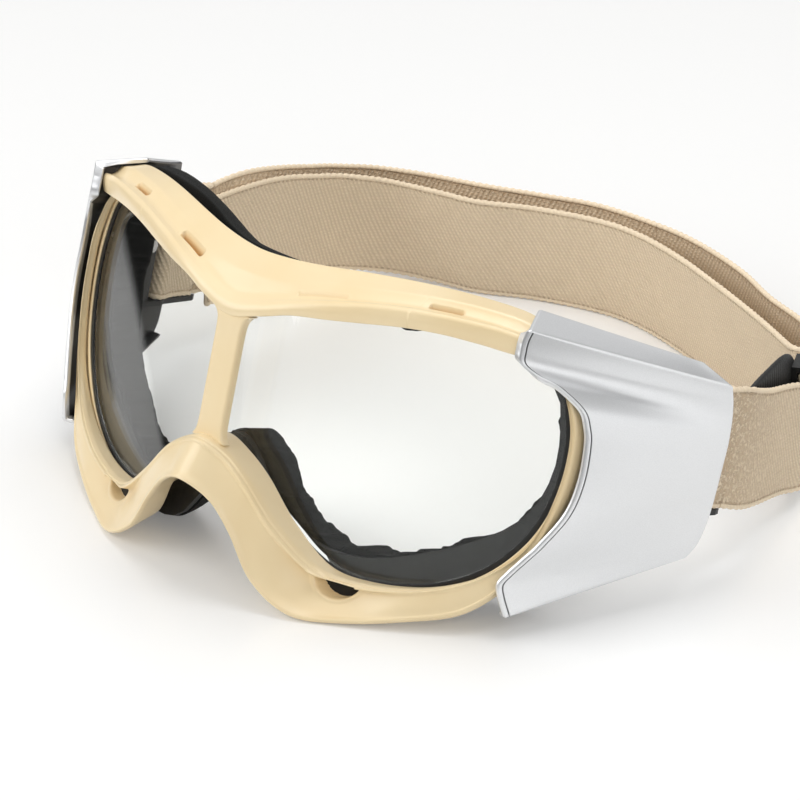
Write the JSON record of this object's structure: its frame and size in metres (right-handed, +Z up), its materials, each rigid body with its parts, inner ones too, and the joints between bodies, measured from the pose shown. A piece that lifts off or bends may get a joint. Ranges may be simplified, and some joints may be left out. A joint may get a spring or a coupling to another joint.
{
  "type": "sports goggles",
  "caption": "Protective sports goggles: cream moulded frame, wrapped clear lens, foam face seal, hinged silver side covers and an elastic beige head strap with a slider.",
  "frame": {"origin": "on the surface that the goggles lie on, in the middle of the whole object's box", "axes": "+Z up; +Y towards the back of the strap; +X to the wearer's left, the picture's right"},
  "size_m": [0.2192, 0.2146, 0.0894],
  "materials": {
    "frame_plastic": "moulded, satin gloss",
    "lens_sheet": "clear polished sheet with a light mirror",
    "seal_rubber": "matt",
    "black_plastic": "moulded, matt",
    "foam": "soft foam with a knitted face",
    "vent_mesh": "fine mesh",
    "cover_metal": "satin silver",
    "steel": "brushed",
    "webbing": "elastic knitted webbing",
    "pad_rubber": "ribbed, matt"
  },
  "bodies": {
    "frame": {"brow_bar": "frame_plastic", "lower_frame": "frame_plastic", "centre_post": "frame_plastic", "lens": "lens_sheet", "lens_seal": "seal_rubber", "lens_rim": "frame_plastic", "foam_carrier": "black_plastic", "face_foam": "foam", "lobe_vent_filter": "vent_mesh", "hinge_lug_left": "black_plastic", "hinge_lug_right": "black_plastic", "hinge_pin_left": "steel", "hinge_pin_right": "steel", "strap_outer": "webbing", "strap_inner": "webbing"},
    "cover_left": {"side_cover_left": "cover_metal", "cover_bracket_left": "black_plastic", "cover_screws_left": "steel", "strap_bar_left": "steel", "strap_end_left": "webbing"},
    "cover_right": {"side_cover_right": "cover_metal", "cover_bracket_right": "black_plastic", "cover_screws_right": "steel", "strap_bar_right": "steel", "strap_end_right": "webbing"},
    "slider": {"strap_slider": "black_plastic", "slider_pad": "pad_rubber"}
  },
  "joints": [
    {"name": "cover_left_hinge", "type": "hinge", "parent": "frame", "child": "cover_left", "pos_m": [-0.0948, -0.04417, 0.04192], "axis": [0, -0.309, -0.9511], "range_deg": [0, 18]},
    {"name": "cover_right_hinge", "type": "hinge", "parent": "frame", "child": "cover_right", "pos_m": [0.0948, -0.04417, 0.04192], "axis": [0, 0.309, 0.9511], "range_deg": [0, 18]},
    {"name": "slider_slide", "type": "slide", "parent": "frame", "child": "slider", "axis": [-0.4879, 0.8729, 0], "range_m": [-0.003, 0.003]}
  ]
}
